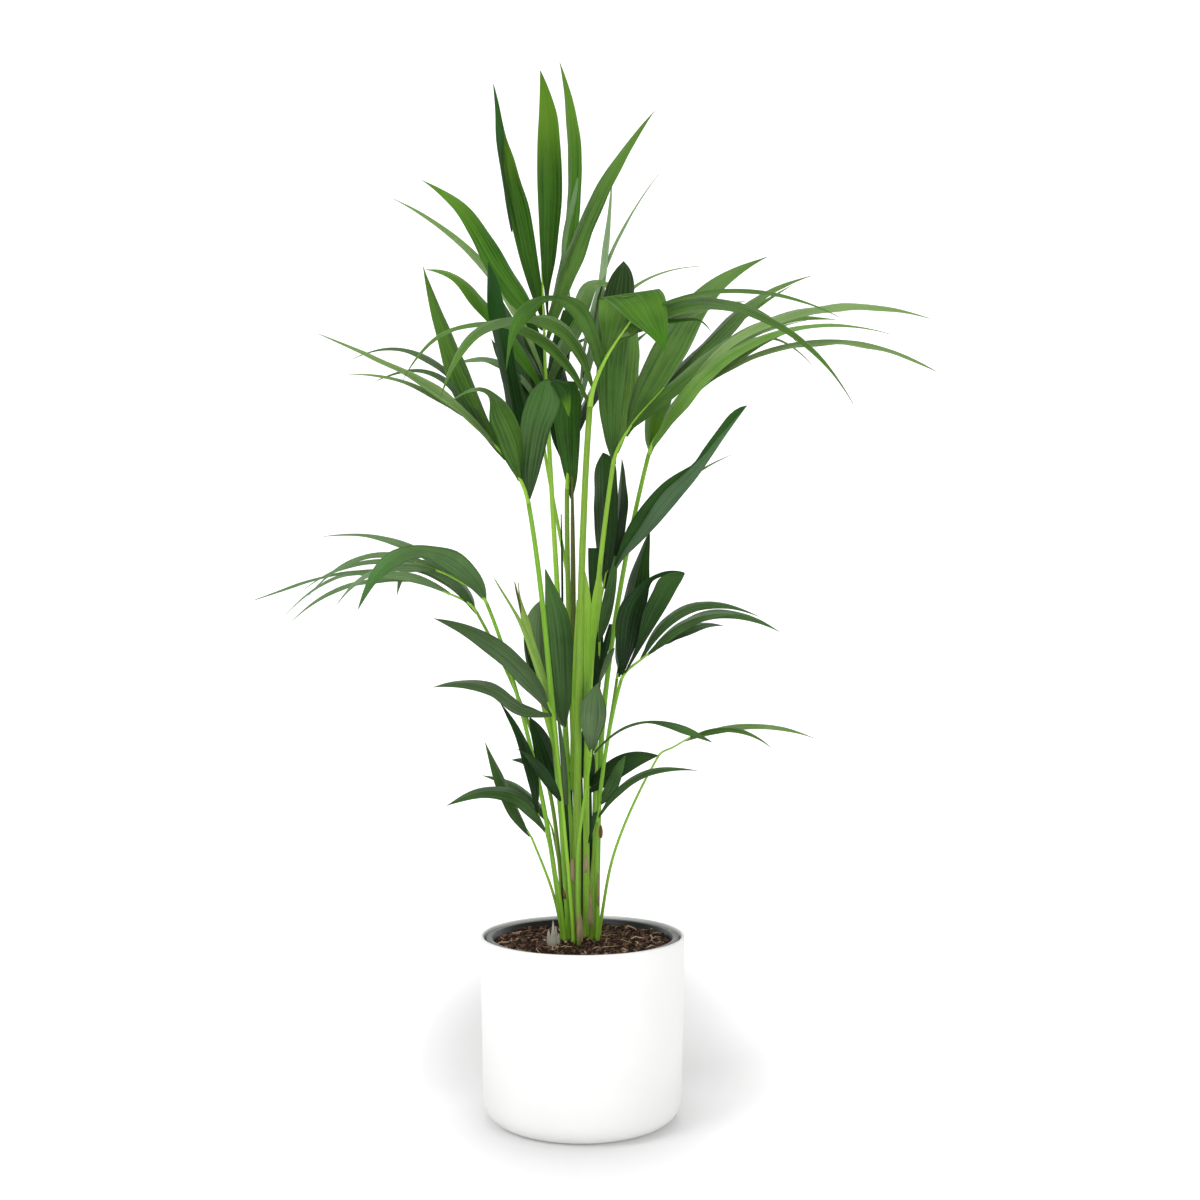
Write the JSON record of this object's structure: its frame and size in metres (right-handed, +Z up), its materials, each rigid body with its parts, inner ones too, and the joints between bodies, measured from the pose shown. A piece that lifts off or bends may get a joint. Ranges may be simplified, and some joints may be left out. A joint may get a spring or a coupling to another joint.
{
  "type": "potted kentia palm",
  "caption": "Tall clump of slender green palm stalks with arching, pointed leaflets, growing in a nursery pot that stands in a plain round white planter.",
  "frame": {"origin": "centre of the planter's flat underside", "axes": "+Z up along the pot's axis, -Y towards the front of the plant as pictured, +X to its right"},
  "size_m": [0.8447, 0.8312, 1.3427],
  "materials": {
    "planter_white": "matte",
    "nursery_black": "satin",
    "compost": "coarse peat and coir compost with pale fibres",
    "stalk_green": "smooth, finely ribbed living stalk",
    "leaf_green": "satin leaf with parallel veins"
  },
  "bodies": {
    "root": {"back_left_frond": "leaf_green", "back_left_stalk": "stalk_green", "back_mid_frond": "leaf_green", "back_mid_stalk": "stalk_green", "big_right_frond": "leaf_green", "big_right_stalk": "stalk_green", "centre_frond": "leaf_green", "centre_stalk": "stalk_green", "front_frond": "leaf_green", "front_stalk": "stalk_green", "left_frond": "leaf_green", "left_mid_lower_frond": "leaf_green", "left_mid_lower_stalk": "stalk_green", "left_mid_upper_frond": "leaf_green", "left_mid_upper_stalk": "stalk_green", "left_pair_frond": "leaf_green", "left_pair_stalk": "stalk_green", "left_stalk": "stalk_green", "low_centre_frond": "leaf_green", "low_centre_stalk": "stalk_green", "low_dark_frond": "leaf_green", "low_dark_stalk": "stalk_green", "low_left_a_frond": "leaf_green", "low_left_a_stalk": "stalk_green", "low_left_b_frond": "leaf_green", "low_left_b_stalk": "stalk_green", "low_left_c_frond": "leaf_green", "low_left_c_stalk": "stalk_green", "low_mid_frond": "leaf_green", "low_mid_stalk": "stalk_green", "low_right_frond": "leaf_green", "low_right_stalk": "stalk_green", "low_thin_frond": "leaf_green", "low_thin_stalk": "stalk_green", "nursery_pot": "nursery_black", "planter": "planter_white", "right_back_frond": "leaf_green", "right_back_stalk": "stalk_green", "right_frond": "leaf_green", "right_mid_back_frond": "leaf_green", "right_mid_back_stalk": "stalk_green", "right_mid_frond": "leaf_green", "right_mid_stalk": "stalk_green", "right_stalk": "stalk_green", "soil": "compost", "spear_frond": "leaf_green", "spear_stalk": "stalk_green", "top_frond": "leaf_green", "top_stalk": "stalk_green"}
  },
  "joints": []
}
